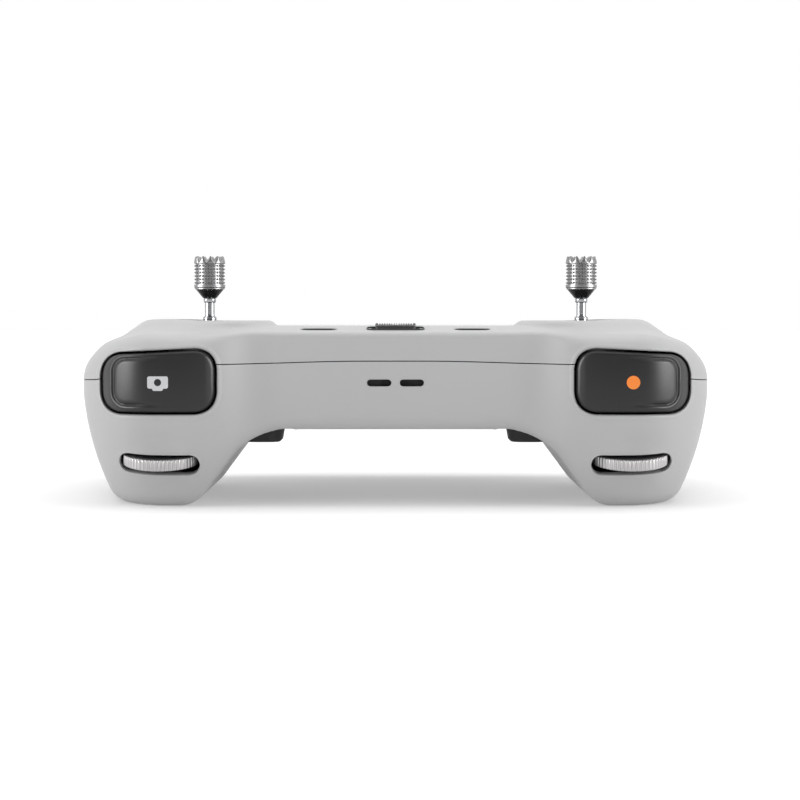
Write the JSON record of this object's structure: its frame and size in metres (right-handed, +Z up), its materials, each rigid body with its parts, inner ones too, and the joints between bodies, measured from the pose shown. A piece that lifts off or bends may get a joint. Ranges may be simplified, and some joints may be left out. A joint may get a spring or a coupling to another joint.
{
  "type": "remote controller",
  "caption": "Hand-held drone remote controller with built-in screen, sprung control sticks, shoulder buttons, dials, keys and a slide switch",
  "frame": {"origin": "middle of the footprint, on the surface that the two grips rest on", "axes": "+X towards the user's left hand, +Y towards the user, +Z up out of the screen"},
  "size_m": [0.1686, 0.1237, 0.0627],
  "materials": {
    "case_plastic": "fine matte grey",
    "button_plastic": "satin charcoal",
    "dark_plastic": "satin charcoal",
    "clear_plastic": "milky",
    "cover_glass": "polished, black backed",
    "display": "glossy",
    "silver_metal": "knurled satin",
    "steel": "polished",
    "cast_frame": "die-cast",
    "antenna_copper": "plated",
    "circuit_board": "solder mask",
    "cell_wrap": "film wrap",
    "soft_rubber": "matte"
  },
  "bodies": {
    "housing": {"top_shell": "case_plastic", "bottom_shell": "case_plastic", "front_screw_right": "steel", "corner_screw_right": "steel", "rear_screw_right": "steel", "front_screw_left": "steel", "corner_screw_left": "steel", "rear_screw_left": "steel", "screen_glass": "cover_glass", "display_panel": "display", "mid_frame": "cast_frame", "main_board": "circuit_board", "battery_pack": "cell_wrap", "speaker": "dark_plastic", "right_antenna": "antenna_copper", "left_antenna": "antenna_copper", "usb_port": "steel", "card_socket": "steel", "storage_insert": "soft_rubber", "light_pipe": "clear_plastic", "top_key_board": "circuit_board", "right_switch_board": "circuit_board", "left_switch_board": "circuit_board", "right_dial_bracket": "cast_frame", "left_dial_bracket": "cast_frame", "right_gimbal_base": "dark_plastic", "left_gimbal_base": "dark_plastic", "right_fore_aft_spring": "steel", "left_fore_aft_spring": "steel"},
    "power_key": {"power_button": "dark_plastic"},
    "return_home_key": {"return_home_button": "dark_plastic"},
    "mode_slider": {"mode_switch_knob": "silver_metal"},
    "shutter": {"shutter_button": "button_plastic"},
    "record": {"record_button": "button_plastic"},
    "right_dial": {"right_dial_wheel": "silver_metal", "right_dial_hub": "dark_plastic"},
    "left_dial": {"left_dial_wheel": "silver_metal", "left_dial_hub": "dark_plastic"},
    "right_custom": {"right_custom_key": "soft_rubber"},
    "left_custom": {"left_custom_key": "soft_rubber"},
    "right_yoke": {"right_gimbal_yoke": "cast_frame", "right_side_spring": "steel"},
    "right_stick": {"right_stick_carrier": "dark_plastic", "right_stick_stem": "steel", "right_stick_head": "silver_metal"},
    "left_yoke": {"left_gimbal_yoke": "cast_frame", "left_side_spring": "steel"},
    "left_stick": {"left_stick_carrier": "dark_plastic", "left_stick_stem": "steel", "left_stick_head": "silver_metal"}
  },
  "joints": [
    {"name": "power_press", "type": "slide", "parent": "housing", "child": "power_key", "axis": [0, 0, -1], "range_m": [0, 0.0005], "stiffness_N_per_m": 400, "springref_m": -0.002},
    {"name": "return_home_press", "type": "slide", "parent": "housing", "child": "return_home_key", "axis": [0, 0, -1], "range_m": [0, 0.0005], "stiffness_N_per_m": 400, "springref_m": -0.002},
    {"name": "mode_slide", "type": "slide", "parent": "housing", "child": "mode_slider", "axis": [1, 0, 0], "range_m": [-0.0016, 0.0016]},
    {"name": "shutter_press", "type": "slide", "parent": "housing", "child": "shutter", "axis": [0, 1, 0], "range_m": [0, 0.001], "stiffness_N_per_m": 400, "springref_m": -0.002},
    {"name": "record_press", "type": "slide", "parent": "housing", "child": "record", "axis": [0, 1, 0], "range_m": [0, 0.001], "stiffness_N_per_m": 400, "springref_m": -0.002},
    {"name": "right_dial_turn", "type": "hinge", "parent": "housing", "child": "right_dial", "pos_m": [-0.0585, -0.0499, 0.0121], "axis": [0, -0.1736, 0.9848], "range_deg": [-30, 30], "stiffness_Nm_per_rad": 0.03},
    {"name": "left_dial_turn", "type": "hinge", "parent": "housing", "child": "left_dial", "pos_m": [0.0585, -0.0499, 0.0121], "axis": [0, -0.1736, 0.9848], "range_deg": [-30, 30], "stiffness_Nm_per_rad": 0.03},
    {"name": "right_custom_press", "type": "slide", "parent": "housing", "child": "right_custom", "axis": [0, 0, 1], "range_m": [0, 0.0008], "stiffness_N_per_m": 400, "springref_m": -0.002},
    {"name": "left_custom_press", "type": "slide", "parent": "housing", "child": "left_custom", "axis": [0, 0, 1], "range_m": [0, 0.0008], "stiffness_N_per_m": 400, "springref_m": -0.002},
    {"name": "right_stick_fore_aft", "type": "hinge", "parent": "housing", "child": "right_yoke", "pos_m": [-0.0478, -0.032, 0.029], "axis": [1, 0, 0], "range_deg": [-20, 20], "stiffness_Nm_per_rad": 0.12},
    {"name": "right_stick_side", "type": "hinge", "parent": "right_yoke", "child": "right_stick", "pos_m": [-0.0478, -0.032, 0.029], "axis": [0, 1, 0], "range_deg": [-20, 20], "stiffness_Nm_per_rad": 0.12},
    {"name": "left_stick_fore_aft", "type": "hinge", "parent": "housing", "child": "left_yoke", "pos_m": [0.0478, -0.032, 0.029], "axis": [1, 0, 0], "range_deg": [-20, 20], "stiffness_Nm_per_rad": 0.12},
    {"name": "left_stick_side", "type": "hinge", "parent": "left_yoke", "child": "left_stick", "pos_m": [0.0478, -0.032, 0.029], "axis": [0, 1, 0], "range_deg": [-20, 20], "stiffness_Nm_per_rad": 0.12}
  ]
}
